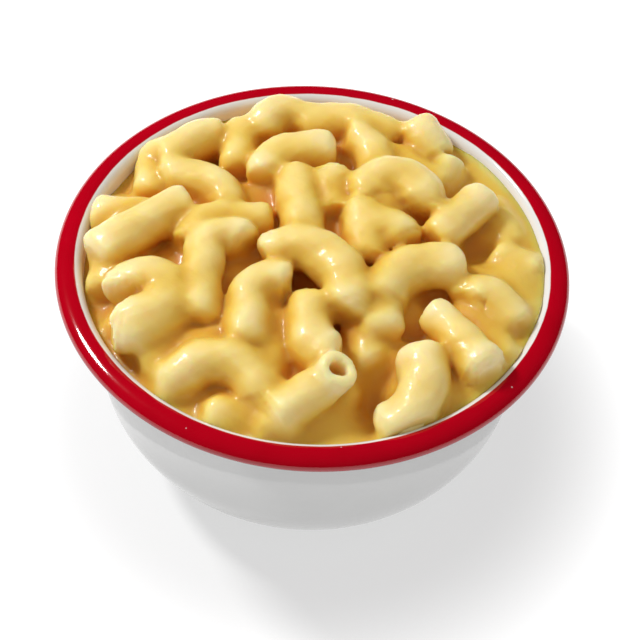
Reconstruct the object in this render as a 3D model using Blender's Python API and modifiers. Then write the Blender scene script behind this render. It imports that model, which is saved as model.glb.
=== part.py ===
"""A small enamelled steel bowl filled with macaroni in cheese sauce.

The origin is the middle of the bowl's flat base, +Z is up and the units are metres.
The bowl is one turned, pressed piece with a rolled rim. The food is one solid out to its
uneven outline: elbow macaroni, most of it laid one by one, standing out of thick sauce.
"""

import math
import random

import bmesh
import bpy
from mathutils import Vector

MM = 0.001

# The bowl, in millimetres.
RIM_RADIUS = 60.0  # out to the outermost point of the rolled rim
RIM_HEIGHT = 56.5  # height of the middle of the roll, which the food is measured from
ROLL_HALF_HEIGHT = 2.4
ROLL_HALF_WIDTH = 3.6
SHOULDER_RADIUS = 2.8  # the round that leads from the rim's top down to the inner wall
WALL = 1.1
TAPER = math.radians(7)  # the wall leans out this far from upright
CORNER_RADIUS = 29.5  # outside, between the base and the wall
RED_EDGE_RADIUS = 55.8  # the red enamel starts here, on the way out over the rim
TURN_STEPS = 48
ARC_STEP = math.radians(18)

# The food, in millimetres.
GAP = 0.3  # kept between the food and the bowl
DOME_HEIGHT = 24.0  # how far above the rim height the food may reach
SAUCE_LEVEL = -2.6  # at the wall, measured from the rim height, as each elbow's lift is
SAUCE_DOME = 4.0  # how much higher it stands in the middle
SAUCE_RISE = 0.03  # the sauce stands this much higher per millimetre towards +X
SAUCE_REACH = 54.5
SAUCE_RINGS = 14
LINE_STEP = 1.5
VOXEL = 1.3
SOLID_TRIANGLES = 6400
SMOOTHING_ROUNDS = 3
FILLERS = 70
FILLER_LIFT = -5.0
FILLER_DOME = 3.0
FILLER_TUBE = 4.9

# Each elbow is two bends that meet at a point: where that point is (x, y) and how far above
# the rim height (lift), which way the tube heads there, how far it has turned on the way
# there and over what length, how far it turns after it and over what length (a turn to the
# left is positive), how far the bend is tipped so that its ends droop, how steeply the tube
# climbs, and its radius at the start and at the end. Millimetres and degrees.
ELBOWS = [
    # along the back, from left to right
    (-32, 33, 3, 46, 0, 10, -30, 9, 10, 0, 5.0, 5.1),
    (-40, 25, 0, 90, 0, 9, 10, 9, 0, 0, 4.8, 4.6),
    (-20, 34, 2, -92, 0, 8, 15, 9, 0, 0, 4.7, 5.0),
    (-13, 43, 4, 50, -60, 7, -80, 10, 30, 0, 5.2, 5.2),
    (6, 44, 3, -5, -40, 13, -40, 14, 20, 0, 5.2, 5.2),
    (14, 28, 4, -90, -70, 14, 0, 9, 0, 0, 4.8, 5.1),
    (26, 39, 3, 122, 0, 5, 0, 7, 0, 20, 5.2, 5.0),
    (30, 30, 0, 75, 0, 8, 0, 5, 0, 15, 4.4, 4.8),
    (25, 28, 1, -40, 0, 11, 0, 7, 0, 0, 4.8, 4.8),
    # behind the middle
    (-7, 30, 5, 200, 20, 11, 75, 12, 0, 0, 5.2, 5.1),
    (-4, 12, 5, -80, 0, 12, 0, 13, 0, 0, 5.1, 5.4),
    (4, 12, -2, -68, 0, 12, 0, 12, 0, 0, 4.9, 4.9),
    (3, 19, 5, -80, 0, 6, 0, 8, 0, 0, 5.9, 3.4),
    (18, 21, 7, -3, -110, 11, -105, 13, 10, 0, 5.8, 6.2),
    (15, 7, 5, -14, 0, 7, -50, 9, 0, 0, 5.2, 5.8),
    (12, 3, 5, -84, 0, 10, 0, 7, 0, 0, 5.8, 4.6),
    (-16, 19, -2, 3, 0, 11, 0, 11, 0, 0, 4.8, 4.8),
    # down the left side
    (-41, 9, 1, 180, 0, 12, 0, 12, 0, 4, 5.0, 4.8),
    (-27, 20, 3, -25, -40, 11, -60, 11, 10, 0, 5.0, 5.2),
    (-39, 4, 5, 45, 0, 16, -12, 12, 0, 0, 5.4, 5.1),
    (-46, -4, 0, -95, 0, 11, 0, 11, 0, 0, 5.1, 4.9),
    (-32, -20, 5, -90, -175, 15, -120, 16, 0, 0, 6.0, 6.3),
    (-21, 7, 4, 187, 0, 11, 80, 12, 0, 0, 4.3, 5.2),
    (-25, -5, 6, -91, 140, 13, 5, 21, 0, 0, 4.8, 5.0),
    # the middle
    (1, -4, 7, -30, -75, 13, -75, 20, 10, 0, 5.4, 6.2),
    (-14, -20, 6, -88, 105, 14, 0, 12, 0, 0, 5.2, 4.8),
    (-9, -28, 1, -86, 0, 14, -15, 14, 0, 0, 5.0, 5.2),
    (0, -24, 4, -88, 17, 9, 70, 12, 0, 0, 5.4, 6.0),
    (16, -19, 3, -80, 0, 3, 0, 6, 0, 0, 5.1, 4.9),
    (14, -27, -1, -72, -10, 9, 10, 4, 0, 0, 4.7, 4.8),
    # down the right side
    (34, 12, 5, 52, 0, 10, 10, 10, 0, 0, 4.7, 5.0),
    (44, 16, -2, -65, -20, 7, -5, 9, 0, 0, 5.2, 5.0),
    (46, 4, -1, -34, 0, 4, 15, 8, 0, 0, 4.4, 4.8),
    (28, -4, 5, 183, 0, 7, 92, 20, 0, 0, 5.4, 5.8),
    (42, -11, 2, -45, -120, 8, -15, 9, 0, -8, 5.2, 5.0),
    (34, -25, 4, -56, -12, 11, 0, 11, 0, 0, 4.0, 5.8),
    (40, -20, -1, -60, 0, 10, 0, 10, 0, 0, 5.0, 5.0),
    (48, -6, -2, -80, 0, 8, 0, 8, 0, 0, 4.8, 4.8),
    # along the front, from left to right
    (-31, -35, 0, -62, 0, 9, 0, 9, 0, 0, 4.8, 4.8),
    (-26, -30, 1, 12, 0, 11, 0, 11, 0, 0, 4.8, 4.8),
    (-19, -35, 4, -3, -80, 12, -85, 15, 20, 0, 5.2, 5.3),
    (-18, -45, -2, -94, 0, 9, 0, 4, 0, 42, 4.4, 4.2),
    (-13, -46, -2, 8, 0, 8, 0, 8, 0, 0, 4.8, 4.8),
    (2, -42, 4, 215, 70, 9, 0, 11, -80, -10, 4.3, 5.4),
    (-6, -45, -1, -85, 0, 7, 0, 7, 0, 0, 5.2, 5.2),
    (26, -37, 3, -90, -14, 9, -90, 16, 18, -8, 5.9, 5.2),
    (33, -35, -3, 42, 0, 9, 0, 9, 0, 0, 5.0, 5.0),
]

# Where the sauce and the lower elbows leave a deep gap: x, y and how wide it is.
PITS = [
    (6, -21, 4),
    (30, -10, 5),
    (-3, -9, 5),
    (30, 19, 9),
    (13, -5, 4),
    (24, -22, 6),
    (-24, 29, 5),
    (38, 4, 7),
    (16, -39, 10),
    (15, -38, 6),
]

# Where the sauce stands higher: x, y, width, rise.
MOUNDS = [
    (-36, -20, 5, 10),
    (-28, -40, 8, 2),
    (-9, -42, 9, 2),
    (6, -44, 8, 2),
    (42, -4, 9, 3),
    (37, 20, 8, 2),
    (36, -28, 8, 2),
    (17, 14, 6, 8),
    (42, -17, 5, 3),
]


def clear_scene():
    for obj in list(bpy.data.objects):
        bpy.data.objects.remove(obj)


def collection(name, hidden=False):
    made = bpy.data.collections.new(name)
    made.hide_render = hidden
    bpy.context.scene.collection.children.link(made)
    return made


def material(name, colour, roughness, coat=0.0):
    made = bpy.data.materials.new(name)
    made.use_nodes = True
    shader = made.node_tree.nodes["Principled BSDF"]
    shader.inputs["Base Color"].default_value = (*colour, 1)
    shader.inputs["Roughness"].default_value = roughness
    shader.inputs["Coat Weight"].default_value = coat
    return made


def arc(centre, half_width, half_height, start, end):
    """Points along part of an ellipse, both ends included; angles in radians from +X."""
    steps = max(2, math.ceil(abs(end - start) / ARC_STEP))
    angles = [start + (end - start) * i / steps for i in range(steps + 1)]
    across, up = centre
    return [(across + half_width * math.cos(a), up + half_height * math.sin(a)) for a in angles]


def crest_radius():
    return RIM_RADIUS - ROLL_HALF_WIDTH


def shoulder_centre():
    return crest_radius(), RIM_HEIGHT + ROLL_HALF_HEIGHT - SHOULDER_RADIUS


def corner(inset):
    """The round between base and wall, this far inside the bowl's outer surface."""
    across, up = shoulder_centre()
    touch_across = across - SHOULDER_RADIUS * math.cos(TAPER) + WALL * math.cos(TAPER)
    touch_up = up + SHOULDER_RADIUS * math.sin(TAPER) - WALL * math.sin(TAPER)
    corner_up = CORNER_RADIUS * (1 - math.sin(TAPER))
    wall_across = touch_across - math.tan(TAPER) * (touch_up - corner_up)
    centre = (wall_across - CORNER_RADIUS * math.cos(TAPER), CORNER_RADIUS)
    radius = CORNER_RADIUS - inset
    return arc(centre, radius, radius, -math.pi / 2, -TAPER)


def bowl_profile():
    inside = [(0, WALL), *corner(WALL)]
    shoulder = arc(
        shoulder_centre(), SHOULDER_RADIUS, SHOULDER_RADIUS, math.pi - TAPER, math.pi / 2
    )
    roll_centre = (crest_radius(), RIM_HEIGHT)
    under = math.radians(-112)
    roll = arc(roll_centre, ROLL_HALF_WIDTH, ROLL_HALF_HEIGHT, math.pi / 2, under)
    outside = [*reversed(corner(0)), (0, 0)]
    across, up = shoulder[0]
    wall_top = RIM_HEIGHT - ROLL_HALF_HEIGHT - 0.3
    wall_across = across + WALL / math.cos(TAPER) - math.tan(TAPER) * (up - wall_top)
    return inside + shoulder + roll[1:] + [(wall_across, wall_top)] + outside


def cavity_profile():
    """What the food may fill: the inside of the bowl less the gap, and the air above it."""
    wall = corner(WALL + GAP)
    top = RIM_HEIGHT + DOME_HEIGHT
    across, up = shoulder_centre()
    mouth = across - SHOULDER_RADIUS - GAP
    return [(0, top), (mouth, top), (mouth, up), *reversed(wall), (0, WALL + GAP)]


def turned(name, profile, where):
    mesh = bpy.data.meshes.new(name)
    points = [(across * MM, 0, up * MM) for across, up in profile]
    mesh.from_pydata(points, [(i, i + 1) for i in range(len(points) - 1)], [])
    obj = bpy.data.objects.new(name, mesh)
    where.objects.link(obj)
    screw = obj.modifiers.new("turn", "SCREW")
    screw.steps = TURN_STEPS
    screw.render_steps = TURN_STEPS
    screw.use_merge_vertices = True
    screw.merge_threshold = 0.00001
    return obj


def settle(obj):
    """Keeps the shape that the object's modifiers make as its own mesh."""
    bpy.context.view_layer.update()
    graph = bpy.context.evaluated_depsgraph_get()
    mesh = bpy.data.meshes.new_from_object(obj.evaluated_get(graph))
    obj.modifiers.clear()
    obj.data = mesh
    return mesh


def build_bowl(where):
    obj = turned("bowl", bowl_profile(), where)
    mesh = settle(obj)
    mesh.materials.append(material("white_enamel", (0.83, 0.82, 0.79), 0.16, 0.4))
    mesh.materials.append(material("red_enamel", (0.42, 0.004, 0.009), 0.14, 0.4))
    wall_top = (RIM_HEIGHT - ROLL_HALF_HEIGHT - 0.2) * MM
    for face in mesh.polygons:
        out = math.hypot(face.center.x, face.center.y)
        painted = out > RED_EDGE_RADIUS * MM or face.center.z < RIM_HEIGHT * MM and out > 53.5 * MM
        face.material_index = int(face.center.z > wall_top and painted)
    return obj


def half_line(start, ahead, side, turn, length):
    """Points along one bend, from the elbow's middle outwards."""
    steps = max(2, round(length / LINE_STEP))
    point = Vector(start)
    points = []
    for i in range(steps):
        angle = math.radians(abs(turn)) * (i + 0.5) / steps
        point = point + (ahead * math.cos(angle) + side * math.sin(angle)) * (length / steps)
        points.append(point.copy())
    return points


def elbow_line(x, y, lift, heading, back, back_length, fore, fore_length, droop, climb):
    heading, droop, climb = (math.radians(angle) for angle in (heading, droop, climb))
    flat = math.cos(climb)
    ahead = Vector((flat * math.cos(heading), flat * math.sin(heading), math.sin(climb)))
    left = Vector((-math.sin(heading), math.cos(heading), 0))
    upward = ahead.cross(left)
    middle = Vector((x, y, RIM_HEIGHT + lift))
    bends = []
    for turn, length, way in ((back, back_length, -ahead), (fore, fore_length, ahead)):
        side = left * math.copysign(math.cos(droop), turn) - upward * math.sin(droop)
        bends.append(half_line(middle, way, side, turn, length))
    return [*reversed(bends[0]), middle, *bends[1]]


def filler_rows():
    """Elbows of the layer below, which hold the upper ones and show in the gaps."""
    random.seed(4)
    rows = []
    for i in range(FILLERS):
        reach = 46 * math.sqrt((i + 0.5) / FILLERS)
        angle = i * math.pi * (3 - math.sqrt(5))
        x = reach * math.cos(angle)
        y = reach * math.sin(angle)
        heading = random.uniform(0, 360)
        lift = FILLER_LIFT + FILLER_DOME * (1 - i / FILLERS) + random.uniform(-1, 1)
        turn = random.uniform(30, 55)
        if all(math.hypot(x - px, y - py) > width / 2 + FILLER_TUBE for px, py, width in PITS):
            rows.append((x, y, lift, heading, turn, 9, turn, 9, 0, 0, FILLER_TUBE, FILLER_TUBE))
    return rows


def tubes(rows, where):
    """One mesh of closed tubes with rounded ends, one tube for each row."""
    curve = bpy.data.curves.new("tubes", "CURVE")
    curve.dimensions = "3D"
    curve.bevel_depth = MM
    curve.bevel_resolution = 3
    curve.use_fill_caps = True
    for *path, first, final in rows:
        line = elbow_line(*path)
        spline = curve.splines.new("POLY")
        spline.points.add(len(line) - 1)
        last = len(line) - 1
        for i, (point, place) in enumerate(zip(spline.points, line)):
            point.co = (*(place * MM), 1)
            point.radius = (first + (final - first) * i / last) * (0.8 if i in (0, last) else 1)
    obj = bpy.data.objects.new("tubes", curve)
    where.objects.link(obj)
    bpy.context.view_layer.update()
    graph = bpy.context.evaluated_depsgraph_get()
    mesh = bpy.data.meshes.new_from_object(obj.evaluated_get(graph))
    bpy.data.objects.remove(obj)
    return mesh


def sauce_height(x, y):
    lumps = 0.5 * math.sin(x / 5.5) * math.cos(y / 6.5)
    dome = SAUCE_DOME * (1 - (x * x + y * y) / SAUCE_REACH**2)
    mounds = sum(r * math.exp(-(((x - mx) ** 2 + (y - my) ** 2) / w**2)) for mx, my, w, r in MOUNDS)
    pits = sum(3.5 * math.exp(-(((x - px) ** 2 + (y - py) ** 2) / width**2)) for px, py, width in PITS)
    return RIM_HEIGHT + SAUCE_LEVEL + SAUCE_RISE * x + dome + lumps + mounds - pits


def add_sauce(shape):
    """A drum from below the bowl's base up to the sauce's uneven surface, wider than the bowl."""
    reach = RIM_RADIUS + 2
    middle = shape.verts.new((0, 0, sauce_height(0, 0) * MM))
    below = shape.verts.new((0, 0, -5 * MM))
    rings = []
    for ring in range(1, SAUCE_RINGS + 1):
        radius = reach * ring / SAUCE_RINGS
        angles = [2 * math.pi * i / TURN_STEPS for i in range(TURN_STEPS)]
        places = [(radius * math.cos(a), radius * math.sin(a)) for a in angles]
        rings.append([shape.verts.new((x * MM, y * MM, sauce_height(x, y) * MM)) for x, y in places])
    rings.append([shape.verts.new((vert.co.x, vert.co.y, below.co.z)) for vert in rings[-1]])
    for i in range(TURN_STEPS):
        j = (i + 1) % TURN_STEPS
        shape.faces.new((middle, rings[0][i], rings[0][j]))
        shape.faces.new((below, rings[-1][j], rings[-1][i]))
        for inner, outer in zip(rings, rings[1:]):
            shape.faces.new((inner[i], outer[i], outer[j], inner[j]))


def build_heap(where, helpers):
    mesh = tubes(ELBOWS + filler_rows(), helpers)
    shape = bmesh.new()
    shape.from_mesh(mesh)
    bmesh.ops.remove_doubles(shape, verts=shape.verts, dist=0.01 * MM)
    add_sauce(shape)
    bmesh.ops.recalc_face_normals(shape, faces=shape.faces)
    shape.to_mesh(mesh)
    shape.free()
    mesh.name = "macaroni_heap"
    obj = bpy.data.objects.new("macaroni_heap", mesh)
    where.objects.link(obj)
    fuse = obj.modifiers.new("fuse", "REMESH")
    fuse.mode = "VOXEL"
    fuse.voxel_size = VOXEL * MM
    soften = obj.modifiers.new("soften", "SMOOTH")
    soften.factor = 0.5
    soften.iterations = SMOOTHING_ROUNDS
    fused = settle(obj)
    fused.calc_loop_triangles()
    lighten = obj.modifiers.new("lighten", "DECIMATE")
    lighten.ratio = SOLID_TRIANGLES / len(fused.loop_triangles)
    settle(obj)
    room = turned("room_in_bowl", cavity_profile(), helpers)
    room.hide_render = True
    room.display_type = "WIRE"
    trim = obj.modifiers.new("trim", "BOOLEAN")
    trim.operation = "INTERSECT"
    trim.solver = "EXACT"
    trim.object = room
    mesh = settle(obj)
    mesh.materials.clear()
    mesh.materials.append(material("cheese_sauce", (0.83, 0.58, 0.16), 0.28, 0.5))
    return obj


clear_scene()
pieces = collection("macaroni_bowl")
helpers = collection("helpers", hidden=True)
build_bowl(pieces)
build_heap(pieces, helpers)
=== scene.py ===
# %% [markdown]
# # A bowl of macaroni and cheese
#
# The real thing is a small pressed-steel bowl with glossy enamel, white with a rolled red rim,
# filled to the brim with elbow macaroni in cheese sauce. Two things make it look good enough
# to eat: the elbows lie at every angle on and under each other, and a thick, smooth sauce
# coats them, so they melt into one another where they touch. This script builds the bowl as
# a turned shell, the pasta as real hollow tubes with Geometry Nodes, and the sauce as a
# surface grown round all the tubes at once.

# %% Tools
import math
import random

import bpy
import numpy as np
import openvdb
from mathutils import Matrix, Vector


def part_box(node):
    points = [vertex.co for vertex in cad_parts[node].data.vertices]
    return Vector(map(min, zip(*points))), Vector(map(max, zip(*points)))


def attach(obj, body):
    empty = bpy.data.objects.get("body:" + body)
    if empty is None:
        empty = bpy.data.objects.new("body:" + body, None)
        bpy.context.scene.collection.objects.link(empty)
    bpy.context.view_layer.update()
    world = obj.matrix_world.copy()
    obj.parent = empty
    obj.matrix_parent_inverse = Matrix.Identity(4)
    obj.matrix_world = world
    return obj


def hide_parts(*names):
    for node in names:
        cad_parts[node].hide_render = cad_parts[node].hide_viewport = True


# %% [markdown]
# ## The frame
#
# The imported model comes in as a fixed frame. Its bowl gives the two sizes that everything
# else here hangs on: how wide the rim is and how high it stands. Every length of the bowl
# and its food is in millimetres, because crockery and food are measured that way, and is
# turned to metres where a mesh or a material takes it. The table, the light and the camera
# at the end are placed in metres.

# %% Load the frame and read the driving sizes
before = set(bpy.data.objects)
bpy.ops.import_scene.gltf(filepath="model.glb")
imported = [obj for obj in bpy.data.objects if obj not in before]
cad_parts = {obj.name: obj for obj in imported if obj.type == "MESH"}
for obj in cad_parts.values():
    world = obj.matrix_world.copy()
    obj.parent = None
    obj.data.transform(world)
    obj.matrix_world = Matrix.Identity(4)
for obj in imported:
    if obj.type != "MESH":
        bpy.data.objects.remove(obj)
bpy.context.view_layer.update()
MM = 0.001
_, bowl_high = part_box("bowl")
RIM_RADIUS = bowl_high.y / MM
ROLL_HALF_HEIGHT = 2.4
ROLL_HALF_WIDTH = 3.6
RIM_HEIGHT = bowl_high.z / MM - ROLL_HALF_HEIGHT
print(f"rim radius {RIM_RADIUS:.1f} mm, middle of the roll {RIM_HEIGHT:.1f} mm up")

# %% [markdown]
# ## Small helpers for materials
#
# Colours are written as the hex codes a colour picker gives, and shaders want them linear,
# so one function converts them. A second function adds a node, sets its properties and
# fills its inputs, where an input is either a plain value or another node's output. Four
# more add the nodes that come back most often: noise, a number spread over a new span, a
# blend of two colours, and a sum. With these, a material reads from top to bottom like a
# recipe.

# %% Colour and node helpers
def linear(code):
    """The linear RGBA colour of an sRGB hex code such as "B8001A"."""
    parts = [int(code[i : i + 2], 16) / 255 for i in (0, 2, 4)]
    return (*[c / 12.92 if c <= 0.04045 else ((c + 0.055) / 1.055) ** 2.4 for c in parts], 1.0)


def add(tree, kind, inputs=(), **settings):
    """Adds a node; inputs are (name or number, value or output socket) pairs."""
    made = tree.nodes.new(kind)
    for name, value in settings.items():
        setattr(made, name, value)
    for place, value in inputs:
        if isinstance(value, bpy.types.NodeSocket):
            tree.links.new(value, made.inputs[place])
        else:
            made.inputs[place].default_value = value
    return made


def new_material(name):
    """An empty material, its tree and its output node."""
    made = bpy.data.materials.new(name)
    made.use_nodes = True
    made.node_tree.nodes.clear()
    output = add(made.node_tree, "ShaderNodeOutputMaterial")
    return made, made.node_tree, output


def noise(tree, place, size, detail, roughness=0.5):
    """Smooth noise with lumps about this many millimetres wide."""
    scale = 1 / (size * MM)
    inputs = [("Vector", place), ("Scale", scale), ("Detail", detail), ("Roughness", roughness)]
    return add(tree, "ShaderNodeTexNoise", inputs).outputs["Fac"]


def mapped(tree, value, low, high, to_low, to_high, ease="LINEAR"):
    """Spreads low to high over to_low to to_high, and stays there beyond either."""
    inputs = [(0, value), (1, low), (2, high), (3, to_low), (4, to_high)]
    return add(tree, "ShaderNodeMapRange", inputs, interpolation_type=ease).outputs[0]


def mixed(tree, share, first, second):
    """A blend of two colours: share 0 is all the first, share 1 all the second."""
    inputs = [("Factor", share), (6, first), (7, second)]
    return add(tree, "ShaderNodeMix", inputs, data_type="RGBA").outputs[2]


def computed(tree, operation, *values, **settings):
    """One sum on plain numbers and other nodes' outputs."""
    inputs = list(enumerate(values))
    return add(tree, "ShaderNodeMath", inputs, operation=operation, **settings).outputs[0]


print("enamel red in linear light:", [round(c, 3) for c in linear("B8001A")[:3]])

# %% [markdown]
# ## The bowl's section
#
# A pressed bowl is the same all the way round, so it is one outline turned about its axis.
# The steel is 1.1 mm thick with its enamel. From the flat base the wall leaves in a wide
# round, leans out by seven degrees, rolls over a small shoulder, and curls out and down into
# the bead of the rim. Every round stretch is an arc worked out from its radius, with many
# more points than the frame's solid has, so that the bead catches light without facets.

# %% The bowl's outline, from the middle of the inside to the middle of the base
SHOULDER_RADIUS = 2.8
WALL = 1.1
TAPER = math.radians(7)
CORNER_RADIUS = 29.5
ARC_STEP = math.radians(5)
ROLL_END = math.radians(-112)
CREST_RADIUS = RIM_RADIUS - ROLL_HALF_WIDTH
SHOULDER_UP = RIM_HEIGHT + ROLL_HALF_HEIGHT - SHOULDER_RADIUS


def arc(centre, half_width, half_height, start, end):
    """Points along part of an ellipse, both ends included."""
    steps = max(2, math.ceil(abs(end - start) / ARC_STEP))
    angles = [start + (end - start) * i / steps for i in range(steps + 1)]
    across, up = centre
    return [(across + half_width * math.cos(a), up + half_height * math.sin(a)) for a in angles]


def corner_centre():
    """The middle of the round between the base and the wall."""
    touch_across = CREST_RADIUS - (SHOULDER_RADIUS - WALL) * math.cos(TAPER)
    touch_up = SHOULDER_UP + (SHOULDER_RADIUS - WALL) * math.sin(TAPER)
    corner_up = CORNER_RADIUS * (1 - math.sin(TAPER))
    wall_across = touch_across - math.tan(TAPER) * (touch_up - corner_up)
    return wall_across - CORNER_RADIUS * math.cos(TAPER), CORNER_RADIUS


def corner(inset):
    """The round between base and wall, this far inside the outer surface."""
    radius = CORNER_RADIUS - inset
    return arc(corner_centre(), radius, radius, -math.pi / 2, -TAPER)


def bowl_outline():
    """Across and up, from the middle of the inside over the rim to the middle of the base."""
    inside = [(0, WALL), *corner(WALL)]
    crest = math.pi / 2
    turn_in = (CREST_RADIUS, SHOULDER_UP)
    shoulder = arc(turn_in, SHOULDER_RADIUS, SHOULDER_RADIUS, math.pi - TAPER, crest)
    bead = (CREST_RADIUS, RIM_HEIGHT)
    roll = arc(bead, ROLL_HALF_WIDTH, ROLL_HALF_HEIGHT, crest, ROLL_END)
    across, up = shoulder[0]
    wall_top = RIM_HEIGHT - ROLL_HALF_HEIGHT - 0.3
    wall_across = across + WALL / math.cos(TAPER) - math.tan(TAPER) * (up - wall_top)
    return inside + shoulder + roll[1:] + [(wall_across, wall_top)] + corner(0)[::-1] + [(0, 0)]


outline = bowl_outline()
print(f"the outline has {len(outline)} points")
print(f"the flat base is {corner_centre()[0]:.1f} mm in radius")

# %% [markdown]
# ## Turning the bowl
#
# The Screw modifier turns the outline once round. Its result is kept as a plain mesh, and a
# number is stored at each point that says how much red enamel covers it: the red was dipped
# or brushed on after the white, over the bead and a little way in over the crest, and it
# thins out softly over its last fraction of a millimetre.

# %% Turn the outline and mark where the red enamel lies
TURN_STEPS = 240
RED_EDGE = 55.3
RED_EDGE_BELOW = 54.6


def turned(name, points, steps):
    mesh = bpy.data.meshes.new(name)
    places = [(across * MM, 0, up * MM) for across, up in points]
    mesh.from_pydata(places, [(i, i + 1) for i in range(len(places) - 1)], [])
    made = bpy.data.objects.new(name, mesh)
    bpy.context.scene.collection.objects.link(made)
    screw = made.modifiers.new("turn", "SCREW")
    screw.steps = steps
    screw.render_steps = steps
    screw.use_merge_vertices = True
    screw.merge_threshold = 0.00001
    return settled(made)


def settled(made):
    """Keeps what the modifiers make as the object's own plain mesh."""
    bpy.context.view_layer.update()
    graph = bpy.context.evaluated_depsgraph_get()
    mesh = bpy.data.meshes.new_from_object(made.evaluated_get(graph))
    made.modifiers.clear()
    made.data = mesh
    return made


def store(mesh, name, values):
    """Keeps one number at each point of a mesh, for a material to read."""
    layer = mesh.attributes.new(name, "FLOAT", "POINT")
    layer.data.foreach_set("value", np.asarray(values, np.float32))


def places_of(mesh):
    """The mesh's points in millimetres, as an array."""
    flat = np.empty(len(mesh.vertices) * 3, np.float32)
    mesh.vertices.foreach_get("co", flat)
    return flat.reshape(-1, 3) / MM


enamel_bowl = turned("enamel_bowl", outline, TURN_STEPS)
enamel_bowl.data.shade_smooth()
bowl_places = places_of(enamel_bowl.data)
out = np.hypot(bowl_places[:, 0], bowl_places[:, 1])
over_the_top = np.clip((out - RED_EDGE) / 0.5 + 0.5, 0, 1)
under_the_roll = np.clip((out - RED_EDGE_BELOW) / 0.4, 0, 1)
under_the_roll *= bowl_places[:, 2] < RIM_HEIGHT - 1
on_the_rim = bowl_places[:, 2] > RIM_HEIGHT - ROLL_HALF_HEIGHT - 0.2
store(enamel_bowl.data, "red_coat", np.maximum(over_the_top, under_the_roll) * on_the_rim)
print(f"bowl: {len(enamel_bowl.data.polygons)} faces")

# %% [markdown]
# ## Enamel, white and red
#
# Vitreous enamel is glass fired onto steel. That gives the eye a hard, clean gloss with an
# index of refraction of 1.5, and a surface that is not quite level: it pooled while it was
# molten, so reflections wander a little over some millimetres. The white is neutral, a
# touch on the grey side. The red is deep and wanders a little in depth, and it is thin
# enough at its edge to let the white shine through as a pink line. A few gas bubbles burst
# as it cooled and left pinholes, a few tenths of a millimetre wide, that show some of the
# white below.

# %% The enamel material
def enamel_material():
    made, tree, output = new_material("vitreous_enamel")
    place = add(tree, "ShaderNodeTexCoord").outputs["Object"]
    wander = noise(tree, place, 9, 2.0)
    white = mixed(tree, wander, linear("E8E8E7"), linear("E3E3E2"))
    red = mixed(tree, wander, linear("B8001A"), linear("A60013"))
    coat = add(tree, "ShaderNodeAttribute", attribute_name="red_coat").outputs["Fac"]
    wobbly = computed(tree, "MULTIPLY_ADD", noise(tree, place, 5, 3.0), 0.5, coat)
    cover = mapped(tree, wobbly, 0.45, 0.95, 0.0, 1.0, "SMOOTHSTEP")
    cells = add(tree, "ShaderNodeTexVoronoi", [("Vector", place), ("Scale", 1 / (5 * MM))])
    pinhole = mapped(tree, cells.outputs["Distance"], 0.03, 0.052, 0.5, 0.0)
    thin = computed(tree, "SUBTRACT", cover, pinhole, use_clamp=True)
    colour = mixed(tree, thin, white, red)
    relief = computed(tree, "MULTIPLY_ADD", pinhole, -0.3, wander)
    bump = add(
        tree,
        "ShaderNodeBump",
        [("Strength", 0.25), ("Distance", 0.25 * MM), ("Height", relief)],
    )
    shader = add(
        tree,
        "ShaderNodeBsdfPrincipled",
        [
            ("Base Color", colour),
            ("Roughness", 0.1),
            ("IOR", 1.5),
            ("Normal", bump.outputs[0]),
        ],
    )
    tree.links.new(shader.outputs[0], output.inputs["Surface"])
    return made


enamel_bowl.data.materials.append(enamel_material())
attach(enamel_bowl, "root")
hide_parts("bowl")
print("the bowl is enamelled")
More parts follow.
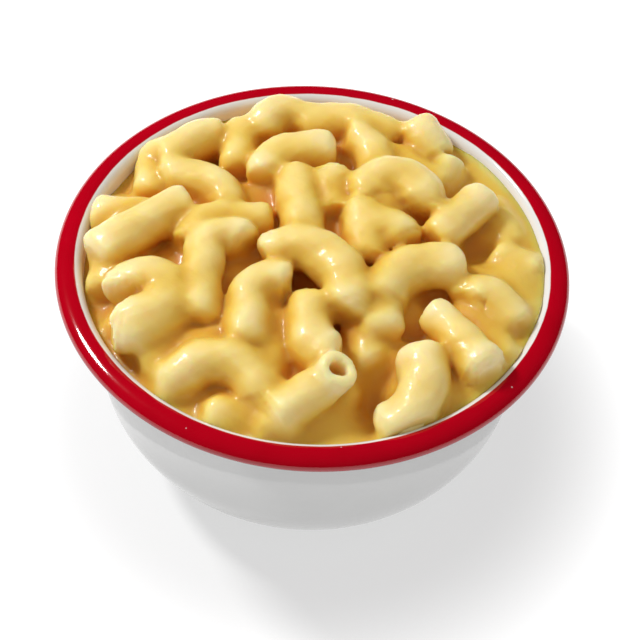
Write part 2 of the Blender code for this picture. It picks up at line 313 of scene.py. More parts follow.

# %% [markdown]
# ## Where each elbow lies
#
# The elbows of the top layer are listed one line each, as a cook's spoon left them.
# An elbow is a tube along a short bent line, so a line needs only the place of its middle,
# the way it heads there, and how far it turns on either side. All of them are in
# millimetres and degrees, and the height counts from the middle of the rim's bead.

# %% The elbows that can be seen
# Middle (x, y, lift); heading there; turn and length before it; turn and length after it;
# droop of the ends; climb; radius with its coat of sauce at the start and at the end.
ELBOWS = [
    # along the back, from left to right
    (-32, 33, 3, 46, 0, 10, -30, 9, 10, 0, 5.0, 5.1),
    (-40, 25, 0, 90, 0, 9, 10, 9, 0, 0, 4.8, 4.6),
    (-20, 34, 2, -92, 0, 8, 15, 9, 0, 0, 4.7, 5.0),
    (-13, 43, 4, 50, -60, 7, -80, 10, 30, 0, 5.2, 5.2),
    (6, 44, 3, -5, -40, 13, -40, 14, 20, 0, 5.2, 5.2),
    (14, 28, 4, -90, -70, 14, 0, 9, 0, 0, 4.8, 5.1),
    (26, 39, 3, 122, 0, 5, 0, 7, 0, 20, 5.2, 5.0),
    (30, 30, 0, 75, 0, 8, 0, 5, 0, 15, 4.4, 4.8),
    (25, 28, 1, -40, 0, 11, 0, 7, 0, 0, 4.8, 4.8),
    # behind the middle
    (-7, 30, 5, 200, 20, 11, 75, 12, 0, 0, 5.2, 5.1),
    (-4, 12, 5, -80, 0, 12, 0, 13, 0, 0, 5.1, 5.4),
    (4, 12, -2, -68, 0, 12, 0, 12, 0, 0, 4.9, 4.9),
    (3, 19, 5, -80, 0, 6, 0, 8, 0, 0, 5.9, 3.4),
    (18, 21, 7, -3, -110, 11, -105, 13, 10, 0, 5.8, 6.2),
    (15, 7, 5, -14, 0, 7, -50, 9, 0, 0, 5.2, 5.8),
    (12, 3, 5, -84, 0, 10, 0, 7, 0, 0, 5.8, 4.6),
    (-16, 19, -2, 3, 0, 11, 0, 11, 0, 0, 4.8, 4.8),
    # down the left side
    (-41, 9, 1, 180, 0, 12, 0, 12, 0, 4, 5.0, 4.8),
    (-27, 20, 3, -25, -40, 11, -60, 11, 10, 0, 5.0, 5.2),
    (-39, 4, 5, 45, 0, 16, -12, 12, 0, 0, 5.4, 5.1),
    (-46, -4, 0, -95, 0, 11, 0, 11, 0, 0, 5.1, 4.9),
    (-32, -20, 5, -90, -175, 15, -120, 15, 0, 0, 6.4, 7.2),
    (-21, 7, 4, 187, 0, 11, 80, 12, 0, 0, 4.3, 5.2),
    (-25, -5, 6, -91, 140, 13, 5, 21, 0, 0, 4.8, 5.0),
    # the middle
    (1, -4, 7, -30, -75, 13, -75, 20, 10, 0, 5.4, 6.2),
    (-14, -20, 6, -88, 105, 14, 0, 12, 0, 0, 5.2, 4.8),
    (-9, -28, 1, -86, 0, 14, -15, 14, 0, 0, 5.0, 5.2),
    (0, -24, 4, -88, 17, 9, 70, 12, 0, 0, 5.4, 6.0),
    (16, -19, 3, -80, 0, 3, 0, 6, 0, 0, 5.1, 4.9),
    (14, -27, -1, -72, -10, 9, 10, 4, 0, 0, 4.7, 4.8),
    # down the right side
    (34, 12, 5, 52, 0, 10, 10, 10, 0, 0, 4.7, 5.0),
    (44, 16, -2, -65, -20, 7, -5, 9, 0, 0, 5.2, 5.0),
    (46, 4, -1, -34, 0, 4, 15, 8, 0, 0, 4.4, 4.8),
    (28, -4, 5, 183, 0, 7, 92, 20, 0, 0, 5.4, 5.8),
    (42, -11, 2, -45, -120, 8, -15, 9, 0, -8, 5.2, 5.0),
    (34, -25, 4, -56, -12, 11, 0, 11, 0, 0, 4.0, 5.8),
    (40, -20, -1, -60, 0, 10, 0, 10, 0, 0, 5.0, 5.0),
    (48, -6, -2, -80, 0, 8, 0, 8, 0, 0, 4.8, 4.8),
    # along the front, from left to right
    (-31, -35, 0, -62, 0, 9, 0, 9, 0, 0, 4.8, 4.8),
    (-26, -30, 1, 12, 0, 11, 0, 11, 0, 0, 4.8, 4.8),
    (-19, -35, 4, -3, -80, 12, -85, 15, 20, 0, 5.2, 5.3),
    (-18, -45, -2, -94, 0, 9, 0, 4, 0, 42, 4.4, 4.2),
    (-13, -46, -2, 8, 0, 8, 0, 8, 0, 0, 4.8, 4.8),
    (2, -42, 4, 215, 70, 9, 0, 11, -80, -10, 4.3, 5.4),
    (-6, -45, -1, -85, 0, 7, 0, 7, 0, 0, 5.2, 5.2),
    (26, -37, 3, -90, -14, 9, -90, 16, 18, -8, 5.9, 5.2),
    (33, -35, -3, 42, 0, 9, 0, 9, 0, 0, 5.0, 5.0),
]
print(f"{len(ELBOWS)} elbows laid by hand")

# %% The line down the middle of an elbow
LINE_STEP = 1.2


def half_line(start, ahead, side, turn, length):
    """Points along one bend, from the elbow's middle outwards."""
    steps = max(2, round(length / LINE_STEP))
    point = start
    points = []
    for i in range(steps):
        angle = math.radians(abs(turn)) * (i + 0.5) / steps
        point = point + (ahead * math.cos(angle) + side * math.sin(angle)) * (length / steps)
        points.append(point)
    return points


def elbow_line(x, y, lift, heading, back, back_length, fore, fore_length, droop, climb):
    heading, droop, climb = (math.radians(angle) for angle in (heading, droop, climb))
    flat = math.cos(climb)
    ahead = Vector((flat * math.cos(heading), flat * math.sin(heading), math.sin(climb)))
    left = Vector((-math.sin(heading), math.cos(heading), 0))
    upward = ahead.cross(left)
    middle = Vector((x, y, RIM_HEIGHT + lift))
    bends = []
    for turn, length, way in ((back, back_length, -ahead), (fore, fore_length, ahead)):
        side = left * math.copysign(math.cos(droop), turn) - upward * math.sin(droop)
        bends.append(half_line(middle, way, side, turn, length))
    return [*reversed(bends[0]), middle, *bends[1]]


elbow_lines = [(elbow_line(*path), (first, last)) for *path, first, last in ELBOWS]
longest = max(len(line) for line, radii in elbow_lines) * LINE_STEP
print(f"the longest elbow is about {longest:.0f} mm along its middle")

# %% [markdown]
# ## The layer below
#
# Between the listed elbows the eye looks down onto more pasta. Nobody could say how each
# of those lies, so a seeded spiral spreads them evenly and turns each at random, and leaves
# out any that would fill one of the deep gaps. The same seed always gives the same bowl.

# %% Deep gaps, and elbows round them
# Middle (x, y) and width of each gap.
PITS = [
    (6, -21, 4),
    (30, -10, 5),
    (-3, -9, 5),
    (30, 19, 9),
    (13, -5, 4),
    (24, -22, 6),
    (-24, 29, 5),
    (38, 4, 7),
    (16, -39, 10),
    (15, -38, 6),
]
FILLERS = 70
FILLER_REACH = 46
FILLER_TUBE = 4.9
FILLER_HALF = 9
FILLER_LIFT = -5.0
FILLER_DOME = 3.0
GOLDEN_ANGLE = math.pi * (3 - math.sqrt(5))


def filler_lines():
    random.seed(4)
    lines = []
    for i in range(FILLERS):
        reach = FILLER_REACH * math.sqrt((i + 0.5) / FILLERS)
        x = reach * math.cos(i * GOLDEN_ANGLE)
        y = reach * math.sin(i * GOLDEN_ANGLE)
        heading = random.uniform(0, 360)
        lift = FILLER_LIFT + FILLER_DOME * (1 - i / FILLERS) + random.uniform(-1, 1)
        turn = random.uniform(30, 55)
        if any(math.hypot(x - px, y - py) <= wide / 2 + FILLER_TUBE for px, py, wide in PITS):
            continue
        line = elbow_line(x, y, lift, heading, turn, FILLER_HALF, turn, FILLER_HALF, 0, 0)
        lines.append((line, (FILLER_TUBE, FILLER_TUBE)))
    return lines


lower_lines = filler_lines()
print(f"{len(lower_lines)} elbows in the layer below")

# %% [markdown]
# ## Real hollow tubes with Geometry Nodes
#
# Elbow macaroni is extruded through a ring-shaped die and cut while it curls, so it is a
# pipe with square-cut ends. The lines go into one mesh of loose edges, with the tube's
# radius stored at each point. A Geometry Nodes tree turns edges into curves, sweeps a
# circle along them, and makes the skin slightly uneven with noise, as boiled pasta is.
# Solidify then gives the pipe its wall and closes the ends, which leaves the bore open.

# %% A tree that sweeps tubes
def tube_tree():
    """The tree, and the names of its inputs for sides, unevenness and material."""
    tree = bpy.data.node_groups.new("pasta_tubes", "GeometryNodeTree")
    face = tree.interface
    face.new_socket("Geometry", in_out="INPUT", socket_type="NodeSocketGeometry")
    sides = face.new_socket("Sides", in_out="INPUT", socket_type="NodeSocketInt")
    uneven = face.new_socket("Unevenness", in_out="INPUT", socket_type="NodeSocketFloat")
    surface = face.new_socket("Pasta", in_out="INPUT", socket_type="NodeSocketMaterial")
    face.new_socket("Geometry", in_out="OUTPUT", socket_type="NodeSocketGeometry")
    entry = add(tree, "NodeGroupInput").outputs
    curves = add(tree, "GeometryNodeMeshToCurve", [("Mesh", entry["Geometry"])])
    radius = add(tree, "GeometryNodeInputNamedAttribute", [("Name", "tube_radius")])
    sized = add(
        tree,
        "GeometryNodeSetCurveRadius",
        [("Curve", curves.outputs[0]), ("Radius", radius.outputs[0])],
    )
    circle = add(
        tree, "GeometryNodeCurvePrimitiveCircle", [("Resolution", entry["Sides"]), ("Radius", 1.0)]
    )
    swept = add(
        tree,
        "GeometryNodeCurveToMesh",
        [
            ("Curve", sized.outputs[0]),
            ("Profile Curve", circle.outputs["Curve"]),
            ("Scale", radius.outputs[0]),
        ],
    )
    lumps = noise(tree, add(tree, "GeometryNodeInputPosition").outputs[0], 5, 1.0)
    centred = computed(tree, "SUBTRACT", lumps, 0.5)
    amount = computed(tree, "MULTIPLY", centred, entry["Unevenness"])
    normal = add(tree, "GeometryNodeInputNormal")
    push = add(
        tree,
        "ShaderNodeVectorMath",
        [(0, normal.outputs[0]), ("Scale", amount)],
        operation="SCALE",
    )
    moved = add(
        tree,
        "GeometryNodeSetPosition",
        [("Geometry", swept.outputs[0]), ("Offset", push.outputs[0])],
    )
    real = add(tree, "GeometryNodeRealizeInstances", [("Geometry", moved.outputs[0])])
    painted = add(
        tree,
        "GeometryNodeSetMaterial",
        [("Geometry", real.outputs[0]), ("Material", entry["Pasta"])],
    )
    add(tree, "NodeGroupOutput", [("Geometry", painted.outputs[0])])
    return tree, sides.identifier, uneven.identifier, surface.identifier


# %% [markdown]
# ## Boiled durum pasta
#
# Cooked macaroni is creamy yellow, faintly see-through at its cut edges, and wet. Light
# goes in and comes out a millimetre or two away, which subsurface scattering does, and the
# water film on it gives a soft gloss.

# %% The pasta material
def pasta_material():
    made, tree, output = new_material("boiled_durum_pasta")
    place = add(tree, "ShaderNodeTexCoord").outputs["Object"]
    colour = mixed(tree, noise(tree, place, 4, 3.0), linear("F7E0A0"), linear("EBC565"))
    shader = add(
        tree,
        "ShaderNodeBsdfPrincipled",
        [
            ("Base Color", colour),
            ("Roughness", 0.35),
            ("IOR", 1.42),
            ("Subsurface Weight", 0.4),
            ("Subsurface Radius", (1.0, 0.6, 0.2)),
            ("Subsurface Scale", 2 * MM),
        ],
    )
    tree.links.new(shader.outputs[0], output.inputs["Surface"])
    return made


# %% Sweep the macaroni
COAT = 0.8
PASTA_WALL = 1.25
PASTA_SIDES = 14
PASTA_UNEVEN = 0.3
# Where (x, y, lift) an elbow's end lies open, and how near its line must end to that.
OPEN_ENDS = [(8, -38, 9), (31, 35, 1)]
NEAR_OPEN = 5
# Points left off a line at an open end, and at an end under a cap of sauce.
SHORTER_OPEN = 1
SHORTER_CAPPED = 3


def is_open(end):
    """Whether an elbow's end is one of the few that the sauce has left open."""
    lifted = Vector((end[0], end[1], end[2] - RIM_HEIGHT))
    return any((lifted - Vector(place)).length < NEAR_OPEN for place in OPEN_ENDS)


def cut_back(line):
    """Drops points at each end, more where a cap of sauce covers it."""
    ends = (line[0], line[-1])
    first, last = (SHORTER_OPEN if is_open(end) else SHORTER_CAPPED for end in ends)
    return line[first : len(line) - last]


def line_mesh(lines):
    """All the middle lines as one mesh of edges, with the pasta's radius at each point."""
    points = []
    edges = []
    radii = []
    for whole, (start, end) in lines:
        line = cut_back(whole)
        first = len(points)
        points += [tuple(point * MM) for point in line]
        edges += [(first + i, first + i + 1) for i in range(len(line) - 1)]
        radii += [(r - COAT) * MM for r in np.linspace(start, end, len(line))]
    mesh = bpy.data.meshes.new("macaroni")
    mesh.from_pydata(points, edges, [])
    store(mesh, "tube_radius", radii)
    return mesh


def make_macaroni():
    made = bpy.data.objects.new("macaroni", line_mesh(elbow_lines + lower_lines))
    bpy.context.scene.collection.objects.link(made)
    tree, sides, uneven, surface = tube_tree()
    sweep = made.modifiers.new("sweep", "NODES")
    sweep.node_group = tree
    sweep[sides] = PASTA_SIDES
    sweep[uneven] = PASTA_UNEVEN * MM
    sweep[surface] = pasta_material()
    wall = made.modifiers.new("wall", "SOLIDIFY")
    wall.thickness = PASTA_WALL * MM
    wall.offset = -1
    return settled(made)


macaroni = make_macaroni()
macaroni.data.shade_smooth()
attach(macaroni, "root")
print(f"macaroni: {len(macaroni.data.polygons)} faces")

# %% [markdown]
# ## Growing the sauce
#
# The sauce clings to every tube, fills the crevices with small round fillets and lies level
# between them. Modelling that by hand would never look poured. A distance field does it:
# at each point of a fine grid of the bowl's room, store how far it is from the nearest
# surface, less than zero inside. Shapes are joined with a smooth minimum, whose blend
# width is the size of the fillet, and cut with a maximum. Where the number is zero, there
# is the sauce's skin, and OpenVDB turns that into a mesh.

# %% The grid, and how two shapes join
PITCH = 0.5
REACH = 54.5
ROOM_TOP = RIM_HEIGHT + 16.0
BAND = 3.0
axis_x = np.arange(-REACH, REACH + PITCH, PITCH, dtype=np.float32)
axis_z = np.arange(0.2, ROOM_TOP, PITCH, dtype=np.float32)
far = np.full((len(axis_x), len(axis_x), len(axis_z)), BAND, np.float32)


def smooth_minimum(first, second, width):
    """The nearer of two shapes, with a fillet of about this width where they meet."""
    near = np.maximum(width - np.abs(first - second), 0) / width
    return np.minimum(first, second) - near * near * width / 4


print(f"grid of {far.size / 1e6:.1f} million points, {PITCH} mm apart")

# %% [markdown]
# ## One tube in the grid
#
# Only the grid points near an elbow need work, so each elbow measures a small box of them:
# the distance to the nearest piece of its middle line, less the radius. The line is first
# run on past both ends and then cut off square, with a round whose size goes with the
# radius: wide where sauce has closed the end, half as wide where the end lies open. Only
# the open ends have a bore.

# %% Measure a tube
END_ROUND = 0.7
RUN_ON = 9.0
BORE_RADIUS = 2.1
BORE_DEPTH = 4.5
BORE_ROUND = 0.8
TUBE_MARGIN = 2.5


def box_slices(line, margin):
    """The part of the grid round a line: slices, and the points in it in millimetres."""
    points = np.array([tuple(point) for point in line], np.float32)
    low = points.min(0) - margin
    high = points.max(0) + margin
    slices = []
    for axis, (start, end) in zip((axis_x, axis_x, axis_z), zip(low, high)):
        first, last = np.searchsorted(axis, (start, end))
        slices.append(slice(first, max(last, first + 1)))
    grid = np.meshgrid(axis_x[slices[0]], axis_x[slices[1]], axis_z[slices[2]], indexing="ij")
    return tuple(slices), np.stack(grid, -1), points


def tube_field(line, radii):
    """The box round an elbow, and the distance to its skin at each grid point in it."""
    slices, grid, points = box_slices(line, max(radii) + TUBE_MARGIN)
    ends = []
    for end, inner in ((points[0], points[2]), (points[-1], points[-3])):
        ends.append((end, (end - inner) / np.linalg.norm(end - inner)))
    beyond_it = [end + RUN_ON * outward for end, outward in ends]
    widths = np.linspace(*radii, len(points))
    widths = np.concatenate((widths[:1], widths, widths[-1:]))
    points = np.concatenate((beyond_it[:1], points, beyond_it[1:]))
    field = np.full(grid.shape[:3], 1e3, np.float32)
    run = np.zeros(grid.shape[:3], np.float32)
    travelled = -RUN_ON
    for i, (start, end) in enumerate(zip(points, points[1:])):
        along = end - start
        share = np.clip(((grid - start) @ along) / (along @ along), 0, 1)
        gap = np.linalg.norm(grid - start - share[..., None] * along, axis=-1)
        gap = gap - widths[i] - share * (widths[i + 1] - widths[i])
        closer = gap < field
        field[closer] = gap[closer]
        length = np.linalg.norm(along)
        run[closer] = travelled + share[closer] * length
        travelled += length
    for (end, outward), beyond, radius in zip(ends, (-run, run - travelled + RUN_ON), radii):
        rounding = END_ROUND * radius * (0.5 if is_open(end) else 1)
        field = -smooth_minimum(-field, -beyond, rounding)
        if is_open(end):
            past = (grid - end) @ outward
            aside = np.linalg.norm(grid - end - past[..., None] * outward, axis=-1)
            bore = np.maximum(aside - BORE_RADIUS, -past - BORE_DEPTH)
            field = -smooth_minimum(-field, bore, BORE_ROUND)
    return slices, field


# %% Lay all the tubes into the grid
FILLET = 2.0
UNEVEN = 0.34


def ripple():
    """A slow, smooth unevenness from -1 to 1, as boiled pasta under sauce has."""
    x = axis_x[:, None, None]
    y = axis_x[None, :, None]
    z = axis_z[None, None, :]
    slow = np.sin(x / 1.7 + 1.4 * np.sin(y / 3.1) + z / 2.6)
    slow = slow + np.sin(y / 1.5 + 1.5 * np.sin(z / 2.7) - x / 3.9)
    fine = np.sin(x / 0.8 + 1.2 * np.sin(y / 1.3)) * np.sin(y / 0.9 + z / 0.7)
    return (0.45 * slow + 0.2 * fine).astype(np.float32)


def lay_tubes(field, lines):
    for line, radii in lines:
        slices, tube = tube_field(line, radii)
        field[slices] = smooth_minimum(field[slices], tube, FILLET)
    return field


tubes = lay_tubes(far.copy(), lower_lines + elbow_lines)
tubes += UNEVEN * ripple()
print(f"{(tubes < 0).sum() * PITCH**3 / 1000:.0f} ml of tubes, bores closed")

# %% [markdown]
# ## The sauce between the tubes
#
# The sauce lies a little below the middle of the bead at the wall and domes up towards the
# middle, more so to the right, where it nearly drowns the pasta. It is heaped at a few
# places, such as inside the big curl at the left. It sinks into the deep gaps, and where it
# touches the wall it creeps up a little, as any liquid that wets enamel does.

# %% The level of the sauce
SAUCE_LEVEL = -2.6
SAUCE_DOME = 4.0
SAUCE_RISE = 0.03
PIT_DEPTH = 3.5
CREEP_UP = 1.4
CREEP_OUT = 2.5
WALL_AT_SAUCE = 53.4
SAUCE_FILLET = 3.0
# Middle (x, y), width and rise of each mound.
MOUNDS = [
    (-36, -20, 5, 10),
    (-28, -40, 8, 2),
    (-9, -42, 9, 2),
    (6, -44, 8, 2),
    (42, -4, 9, 3),
    (37, 20, 8, 2),
    (36, -28, 8, 2),
    (17, 14, 6, 8),
    (42, -17, 5, 3),
]
flat_x, flat_y = np.meshgrid(axis_x, axis_x, indexing="ij")


def sauce_level():
    level = RIM_HEIGHT + SAUCE_LEVEL + SAUCE_RISE * flat_x
    level = level + SAUCE_DOME * (1 - (flat_x**2 + flat_y**2) / REACH**2)
    level = level + 0.5 * np.sin(flat_x / 5.5) * np.cos(flat_y / 6.5)
    for x, y, wide in PITS:
        level = level - PIT_DEPTH * np.exp(-((flat_x - x) ** 2 + (flat_y - y) ** 2) / wide**2)
    for x, y, wide, rise in MOUNDS:
        level = level + rise * np.exp(-((flat_x - x) ** 2 + (flat_y - y) ** 2) / wide**2)
    from_wall = np.clip(WALL_AT_SAUCE - np.hypot(flat_x, flat_y), 0, 9)
    return level + CREEP_UP * np.exp(-from_wall / CREEP_OUT)


sauce = np.clip(axis_z[None, None, :] - sauce_level()[..., None], -BAND, BAND)
food = smooth_minimum(tubes, sauce.astype(np.float32), SAUCE_FILLET)
print(f"sauce stands {sauce_level().min():.1f} to {sauce_level().max():.1f} mm above the table")

# %% [markdown]
# ## The room in the bowl
#
# The food ends at the enamel. The inside of the bowl is measured from the same radii as
# its outline, and the food is let a little way into the steel so that no line of light
# shows between.

# %% Cut the food to the bowl
INTO_WALL = 0.45


def room_field():
    """Distance to the inside of the bowl, less than zero in the room, on a half section."""
    out = np.hypot(flat_x, flat_y)[..., None]
    up = axis_z[None, None, :]
    middle, lift = corner_centre()
    radius = CORNER_RADIUS - WALL
    touch_out = middle + radius * math.cos(TAPER)
    touch_up = lift - radius * math.sin(TAPER)
    wall = (out - touch_out - math.tan(TAPER) * (up - touch_up)) * math.cos(TAPER)
    mouth = out - (CREST_RADIUS - SHOULDER_RADIUS)
    side = np.maximum(np.maximum(wall, mouth), WALL - up)
    past = out - middle
    below = lift - up
    in_corner = (past > 0) & (below > math.tan(TAPER) * past)
    return np.where(in_corner, np.hypot(past, below) - radius, side)


food = np.maximum(food, room_field() - INTO_WALL).astype(np.float32)
print(f"{(food < 0).sum() * PITCH**3 / 1000:.0f} ml of macaroni and sauce")

# %% [markdown]
# ## From numbers to a mesh
#
# OpenVDB walks the grid and lays one face wherever the field changes sign. What comes out
# may hold loose bits too, such as air trapped below an elbow, so only the largest
# connected shell is kept. Collapse decimation then spends the triangles where the surface
# bends, on the elbows, and not on the smooth underside that lies in the bowl.

# %% Make the skin of the sauce
MOST_TRIANGLES = 190000


def skin_of(field):
    grid = openvdb.FloatGrid(BAND)
    grid.copyFromArray(np.clip(field, -BAND, BAND))
    points, quads = grid.convertToQuads(isovalue=0.0)
    return points.astype(np.float64), quads.astype(np.int64)


def largest_shell(points, quads):
    """Keeps the faces of the largest connected piece, found by spreading the lowest label."""
    label = np.arange(len(points))
    while True:
        lowest = label[quads].min(1)
        new = label.copy()
        np.minimum.at(new, quads.ravel(), np.repeat(lowest, 4))
        new = new[new]
        if (new == label).all():
            break
        label = new
    names, counts = np.unique(label[quads[:, 0]], return_counts=True)
    kept = quads[label[quads[:, 0]] == names[counts.argmax()]]
    used, inverse = np.unique(kept, return_inverse=True)
    return points[used], inverse.reshape(-1, 4)


def signed_volume(points, quads):
    """Less than zero if the faces look inwards."""
    a, b, c, d = (points[quads[:, i]] for i in range(4))
    return np.sum(a * (np.cross(b, c) + np.cross(c, d))) / 6


def make_sauce():
    points, quads = largest_shell(*skin_of(food))
    if signed_volume(points, quads) < 0:
        quads = quads[:, ::-1]
    places = points * PITCH + np.array((axis_x[0], axis_x[0], axis_z[0]))
    mesh = bpy.data.meshes.new("cheese_sauce")
    mesh.from_pydata((places * MM).tolist(), [], quads.tolist())
    made = bpy.data.objects.new("cheese_sauce", mesh)
    bpy.context.scene.collection.objects.link(made)
    fewer = made.modifiers.new("fewer", "DECIMATE")
    fewer.ratio = min(1.0, MOST_TRIANGLES / (2 * len(quads)))
    return settled(made)


cheese_sauce = make_sauce()
cheese_sauce.data.shade_smooth()
print(f"cheese sauce: {len(cheese_sauce.data.polygons)} faces")

# %% [markdown]
# ## Where shade is painted into the sauce's colour
#
# The sauce is painted pale where it stands out in the light, and darker and warmer where it
# lies in a crevice: painted shade, standing in for the light that bounces about in there and
# turns orange. Two numbers are kept at each point for this painted shade: the share of food
# and bowl in a small box round it, which finds sharp folds, and the same in a wide box, which
# finds hollows between elbows. White enamel throws most of the light back, so the bowl counts
# for a little less than food.

# %% Measure crevices and hollows for the painted shade
FOLD_REACH = 1.6
HOLLOW_REACH = 4.0
ENAMEL_SHARE = 0.8


def blurred(values, reach, rounds=2):
    """A box blur along each axis in turn."""
    for _ in range(rounds):
        for axis in range(3):
            margins = [(reach + 1, reach) if i == axis else (0, 0) for i in range(3)]
            total = np.cumsum(np.pad(values, margins, "edge"), axis=axis, dtype=np.float64)
            size = values.shape[axis]
            ahead = np.take(total, range(2 * reach + 1, 2 * reach + 1 + size), axis=axis)
            behind = np.take(total, range(size), axis=axis)
            values = ((ahead - behind) / (2 * reach + 1)).astype(np.float32)
    return values


def sampled(values, places):
    """Reads a grid at places in millimetres, blending the eight nearest points."""
    where = (places - np.array((axis_x[0], axis_x[0], axis_z[0]))) / PITCH
    where = np.clip(where, 0, np.array(values.shape) - 1.001)
    low = where.astype(int)
    part = where - low
    result = 0
    for corner_step in np.ndindex(2, 2, 2):
        weight = np.prod(np.where(corner_step, part, 1 - part), axis=1)
        result = result + weight * values[tuple((low + corner_step).T)]
    return result


sauce_places = places_of(cheese_sauce.data)
behind_wall = np.where(axis_z < RIM_HEIGHT, room_field(), -BAND)
solid = np.clip(0.5 - food / PITCH, 0, 1)
solid = np.maximum(solid, ENAMEL_SHARE * np.clip(0.5 + behind_wall / PITCH, 0, 1))
near = sampled(blurred(solid, round(FOLD_REACH / PITCH)), sauce_places)
wide = sampled(blurred(solid, round(HOLLOW_REACH / PITCH)), sauce_places)
# Folds and hollows, stored to paint shade into the sauce's colour.
store(cheese_sauce.data, "fold_shade", near)
store(cheese_sauce.data, "hollow_shade", wide)
for name, values in (("fold_shade", near), ("closed in", wide)):
    print(name, [round(float(v), 2) for v in np.percentile(values, (5, 50, 95))])

# %% [markdown]
# ## Cheese sauce
#
# A smooth sauce of milk, cheddar and a little flour. Its colour carries painted light and shade:
# pale cream where it stands out, golden where it lies between elbows, and orange only in the
# deepest gaps, where painted shade stands in for light bounced about in the hollows. It is an
# emulsion, so light spreads a few millimetres inside it, red the farthest, which subsurface
# scattering gives. The sauce itself shines softly and broadly. A thin wet coat of fat lies on
# it, and breaks into small sharp highlights over the faint graininess of melted cheese.

# %% The sauce material
def sauce_material():
    made, tree, output = new_material("cheddar_cheese_sauce")
    place = add(tree, "ShaderNodeTexCoord").outputs["Object"]
    # Painted shade: folds and hollows make the colour darker and warmer.
    fold_shade = add(tree, "ShaderNodeAttribute", attribute_name="fold_shade").outputs["Fac"]
    closed = add(tree, "ShaderNodeAttribute", attribute_name="hollow_shade").outputs["Fac"]
    patch = noise(tree, place, 12, 3.0, 0.55)
    shade_depth = mapped(tree, closed, 0.2, 0.9, 0.0, 1.0)
    wandering = computed(tree, "MULTIPLY_ADD", patch, 0.12, shade_depth)
    # The ramp is painted light and shade, pale cream on exposed tops to orange in deep hollows.
    body = add(tree, "ShaderNodeValToRGB", [("Fac", wandering)])
    ramp = body.color_ramp
    ramp.interpolation = "B_SPLINE"
    stops = [
        (0.20, "F4E2A8"),
        (0.30, "F0D888"),
        (0.44, "E6C353"),
        (0.62, "E0AE40"),
        (0.80, "DA962E"),
        (0.95, "D07A20"),
    ]
    for place_on_ramp, code in stops:
        ramp.elements.new(place_on_ramp).color = linear(code)
    ramp.elements.remove(ramp.elements[0])
    ramp.elements.remove(ramp.elements[-1])
    # Sharp folds are pulled towards a darker golden: painted shade.
    fold_shade_share = mapped(tree, fold_shade, 0.5, 0.9, 0.0, 0.6)
    colour = mixed(tree, fold_shade_share, body.outputs["Color"], linear("DCA846"))
    grain = noise(tree, place, 2.8, 3.0, 0.4)
    bump = add(
        tree,
        "ShaderNodeBump",
        [("Strength", 0.7), ("Distance", 0.35 * MM), ("Height", grain)],
    )
    gloss = mapped(tree, patch, 0.3, 0.7, 0.42, 0.55)
    shader = add(
        tree,
        "ShaderNodeBsdfPrincipled",
        [
            ("Base Color", colour),
            ("Roughness", gloss),
            ("IOR", 1.45),
            ("Subsurface Weight", 0.9),
            ("Subsurface Radius", (1.0, 0.6, 0.15)),
            ("Subsurface Scale", 5 * MM),
            ("Coat Weight", 0.4),
            ("Coat Roughness", 0.14),
            ("Coat IOR", 1.4),
            ("Normal", bump.outputs[0]),
            ("Coat Normal", bump.outputs[0]),
        ],
    )
    tree.links.new(shader.outputs[0], output.inputs["Surface"])
    return made


cheese_sauce.data.materials.append(sauce_material())
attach(cheese_sauce, "root")
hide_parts("macaroni_heap")
print("the sauce has its colour and its gloss")

# %% [markdown]
# ## Table, light and camera
#
# A plain white table, a soft key light from behind and to the left that rakes over the
# elbows and throws their shadows forwards and to the right, and an even white surrounding
# light that fills them. The table glows softly by itself, more so away from the bowl, so
# that the bowl's shadow fades into pure white. Its bounce light is left out, so that the
# bowl's wall stays darker than the table behind it. The camera looks steeply down from the
# front, through a long lens.

# %% The table
TABLE_HALF = 3.0
GLOW_FROM = 0.055
GLOW_TO = 0.105


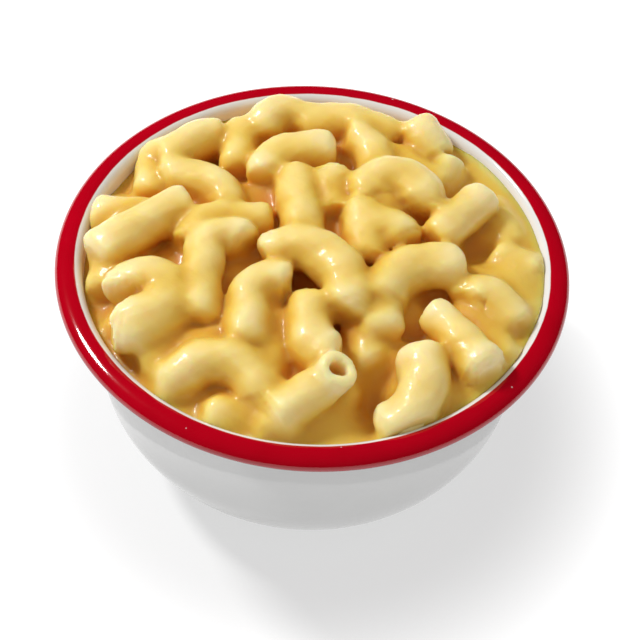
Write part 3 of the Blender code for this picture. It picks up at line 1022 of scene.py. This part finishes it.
def make_table():
    mesh = bpy.data.meshes.new("table")
    corners = [(x * TABLE_HALF, y * TABLE_HALF, 0) for x, y in ((-1, -1), (1, -1), (1, 1), (-1, 1))]
    mesh.from_pydata(corners, [], [(0, 1, 2, 3)])
    made = bpy.data.objects.new("table", mesh)
    bpy.context.scene.collection.objects.link(made)
    surface, tree, output = new_material("white_table")
    place = add(tree, "ShaderNodeTexCoord").outputs["Object"]
    away = add(tree, "ShaderNodeVectorMath", [(0, place)], operation="LENGTH")
    away = away.outputs["Value"]
    glow = mapped(tree, away, GLOW_FROM, GLOW_TO, 0.43, 0.96, "SMOOTHSTEP")
    shader = add(
        tree,
        "ShaderNodeBsdfPrincipled",
        [
            ("Base Color", (0.48, 0.48, 0.48, 1)),
            ("Roughness", 0.9),
            ("Specular IOR Level", 0.1),
            ("Emission Color", (1, 1, 1, 1)),
            ("Emission Strength", glow),
        ],
    )
    tree.links.new(shader.outputs[0], output.inputs["Surface"])
    mesh.materials.append(surface)
    made.visible_diffuse = False
    return made


make_table()

# %% The lights
def aim(made, place, target):
    """Puts an object at a place, looking at a target."""
    made.location = place
    made.rotation_euler = (Vector(target) - Vector(place)).to_track_quat("-Z", "Y").to_euler()


def area_light(name, place, size, power):
    lamp = bpy.data.lights.new(name, "AREA")
    lamp.shape = "DISK"
    lamp.size = size
    lamp.energy = power
    made = bpy.data.objects.new(name, lamp)
    bpy.context.scene.collection.objects.link(made)
    aim(made, place, (0, 0, RIM_HEIGHT * MM))


def white_surround(strength):
    world = bpy.data.worlds.new("surround")
    world.use_nodes = True
    background = world.node_tree.nodes["Background"].inputs
    background["Color"].default_value = (1, 1, 1, 1)
    background["Strength"].default_value = strength
    world.cycles_visibility.glossy = False
    bpy.context.scene.world = world


area_light("key", (-0.58, 0.26, 0.76), 0.18, 6.0)
white_surround(0.62)
bpy.context.scene.view_settings.view_transform = "Standard"
print("one key light and an even white surround")

# %% The camera
CAMERA_TILT = math.radians(49.46)
CAMERA_ROLL = math.radians(3.66)
CAMERA_REACH = 0.42
CAMERA_LENS = 97.2
CAMERA_TARGET = Vector((2.46, 0, RIM_HEIGHT - 21.1)) * MM


def make_camera():
    lens = bpy.data.cameras.new("camera")
    lens.lens = CAMERA_LENS
    lens.sensor_width = 36
    made = bpy.data.objects.new("camera", lens)
    bpy.context.scene.collection.objects.link(made)
    forward = Vector((0, math.cos(CAMERA_TILT), -math.sin(CAMERA_TILT)))
    level = Vector((1, 0, 0))
    upright = level.cross(forward)
    side = math.cos(CAMERA_ROLL) * level + math.sin(CAMERA_ROLL) * upright
    top = -math.sin(CAMERA_ROLL) * level + math.cos(CAMERA_ROLL) * upright
    turn = Matrix((side, top, -forward)).transposed()
    made.matrix_world = Matrix.Translation(CAMERA_TARGET - forward * CAMERA_REACH) @ turn.to_4x4()
    return made


bpy.context.scene.camera = make_camera()
print("camera", [round(v, 3) for v in bpy.context.scene.camera.location])
